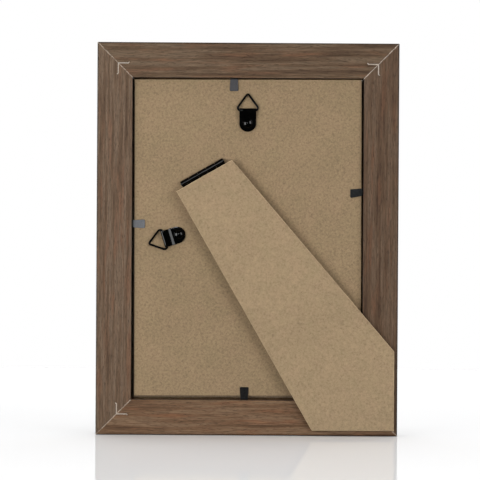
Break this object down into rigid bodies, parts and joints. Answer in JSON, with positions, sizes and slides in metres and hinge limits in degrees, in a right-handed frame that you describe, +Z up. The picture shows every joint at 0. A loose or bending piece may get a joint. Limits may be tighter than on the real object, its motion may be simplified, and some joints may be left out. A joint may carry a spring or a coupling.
{
  "type": "picture frame",
  "caption": "Upright wooden picture frame with glass, backing board, bendable tabs, triangle hangers and a hinged easel leg folded against its back.",
  "frame": {"origin": "centre of the flat underside of the bottom rail, half way through the moulding's depth, where the upright frame rests", "axes": "+Z up the height of the upright frame, -Y out of the picture side, +Y out of the back where the easel leg is, X across the width"},
  "size_m": [0.1694, 0.0181, 0.2204],
  "materials": {
    "walnut_moulding": "satin dark walnut with fine straight grain",
    "fibreboard": "matte light brown pressed fibreboard with fine speckle",
    "black_steel": "glossy black lacquer",
    "tab_steel": "dull dark grey spring steel",
    "nail_steel": "plain steel edge, dusty with wood fibre",
    "clear_glass": "clear float glass",
    "insert_paper": "matte printed card"
  },
  "bodies": {
    "frame": {"rail_bottom": "walnut_moulding", "rail_right": "walnut_moulding", "rail_top": "walnut_moulding", "rail_left": "walnut_moulding", "v_nail_bottom_left": "nail_steel", "v_nail_bottom_right": "nail_steel", "v_nail_top_right": "nail_steel", "v_nail_top_left": "nail_steel", "glass_pane": "clear_glass", "photo_insert": "insert_paper", "backing_board": "fibreboard", "tab_tang_bottom": "tab_steel", "tab_tang_right": "tab_steel", "tab_tang_top": "tab_steel", "tab_tang_left": "tab_steel", "hanger_rivet_top": "black_steel", "hanger_rivet_side": "black_steel", "hinge_base_leaf": "black_steel", "hinge_pin": "black_steel", "hinge_rivet_left": "black_steel", "hinge_rivet_right": "black_steel"},
    "leg": {"easel_leg": "fibreboard", "hinge_leg_leaf": "black_steel", "leg_tack_left": "black_steel", "leg_tack_right": "black_steel"},
    "top_strap": {"hanger_strap_top": "black_steel"},
    "top_ring": {"hanger_ring_top": "black_steel"},
    "side_strap": {"hanger_strap_side": "black_steel"},
    "side_ring": {"hanger_ring_side": "black_steel"},
    "bottom_tab": {"tab_blade_bottom": "tab_steel"},
    "right_tab": {"tab_blade_right": "tab_steel"},
    "top_tab": {"tab_blade_top": "tab_steel"},
    "left_tab": {"tab_blade_left": "tab_steel"}
  },
  "joints": [
    {"name": "leg_hinge", "type": "hinge", "parent": "frame", "child": "leg", "pos_m": [0.0254, 0.0067, 0.1474], "axis": [0.8678, 0, -0.497], "range_deg": [0, 30]},
    {"name": "top_strap_swivel", "type": "hinge", "parent": "frame", "child": "top_strap", "pos_m": [0.0002, 0.0049, 0.1752], "axis": [0, 1, 0], "continuous": true},
    {"name": "top_ring_flip", "type": "hinge", "parent": "top_strap", "child": "top_ring", "pos_m": [0.0002, 0.0062, 0.1824], "axis": [-1, 0, 0], "range_deg": [0, 160]},
    {"name": "side_strap_swivel", "type": "hinge", "parent": "frame", "child": "side_strap", "pos_m": [0.03855, 0.0049, 0.1126], "axis": [0, 1, 0], "range_deg": [-110, 135]},
    {"name": "side_ring_flip", "type": "hinge", "parent": "side_strap", "child": "side_ring", "pos_m": [0.04637, 0.0062, 0.11013], "axis": [0.3007, 0, 0.9537], "range_deg": [0, 160]},
    {"name": "bottom_tab_bend", "type": "hinge", "parent": "frame", "child": "bottom_tab", "pos_m": [0.0013, 0.0053, 0.02015], "axis": [-1, 0, 0], "range_deg": [0, 85]},
    {"name": "right_tab_bend", "type": "hinge", "parent": "frame", "child": "right_tab", "pos_m": [-0.06455, 0.0053, 0.1371], "axis": [0, 0, 1], "range_deg": [0, 85]},
    {"name": "top_tab_bend", "type": "hinge", "parent": "frame", "child": "top_tab", "pos_m": [0.008, 0.0053, 0.20025], "axis": [1, 0, 0], "range_deg": [0, 85]},
    {"name": "left_tab_bend", "type": "hinge", "parent": "frame", "child": "left_tab", "pos_m": [0.06455, 0.0053, 0.1185], "axis": [0, 0, -1], "range_deg": [0, 85]}
  ]
}
